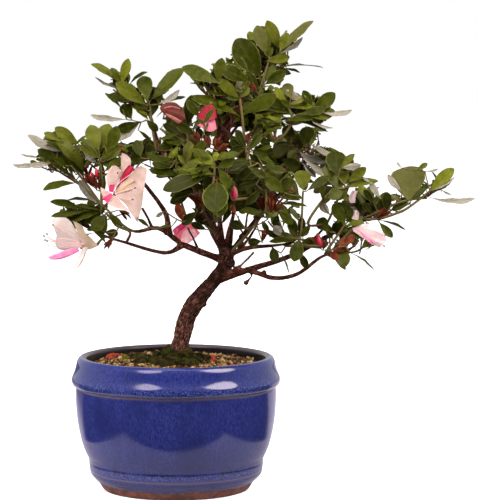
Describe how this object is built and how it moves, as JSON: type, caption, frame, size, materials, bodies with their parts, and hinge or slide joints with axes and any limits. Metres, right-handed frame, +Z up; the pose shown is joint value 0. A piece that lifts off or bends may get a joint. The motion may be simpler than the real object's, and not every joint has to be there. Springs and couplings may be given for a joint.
{
  "type": "potted azalea bonsai",
  "caption": "Small azalea bonsai with a leaning trunk, spreading boughs, leafy masses and open blossom, standing in a round glazed pot with soil and moss.",
  "frame": {"origin": "centre of the pot's flat underside", "axes": "+Z up along the pot's axis, +X towards the long right-hand bough, -Y towards the front"},
  "size_m": [0.3945, 0.2448, 0.4056],
  "materials": {
    "glaze": "glossy cobalt-blue glaze, speckled, bare clay at the foot",
    "gravel": "tan gravel soil, rough",
    "moss": "dark green moss",
    "bark": "dark red-brown fissured bark",
    "leaf": "satin green leaves, with white and pink blossom"
  },
  "bodies": {
    "root": {"pot": "glaze", "soil": "gravel", "trunk": "bark", "leader_bough": "bark", "left_bough": "bark", "right_arm_bough": "bark", "right_leader_bough": "bark", "right_low_bough": "bark", "right_inner_bough": "bark", "back_low_bough": "bark", "front_bough": "bark", "left_low_bough": "bark", "left_rise_bough": "bark", "upper_left_bough": "bark", "front_left_bough": "bark", "inner_left_bough": "bark", "crest_left_bough": "bark", "centre_bough": "bark", "upper_right_bough": "bark", "back_left_bough": "bark", "back_crest_bough": "bark", "centre_right_bough": "bark", "back_right_bough": "bark", "right_shoulder_bough": "bark", "right_tip_bough": "bark", "moss": "moss", "left_wing_foliage": "leaf", "left_shoulder_foliage": "leaf", "left_low_foliage": "leaf", "upper_left_foliage": "leaf", "inner_left_foliage": "leaf", "crest_left_foliage": "leaf", "crest_foliage": "leaf", "upper_right_foliage": "leaf", "right_droop_foliage": "leaf", "front_left_foliage": "leaf", "front_foliage": "leaf", "centre_foliage": "leaf", "centre_right_foliage": "leaf", "right_shoulder_foliage": "leaf", "right_tip_foliage": "leaf", "right_arm_foliage": "leaf", "right_low_foliage": "leaf", "right_inner_foliage": "leaf", "back_left_foliage": "leaf", "back_crest_foliage": "leaf", "back_right_foliage": "leaf", "back_low_foliage": "leaf"}
  },
  "joints": []
}
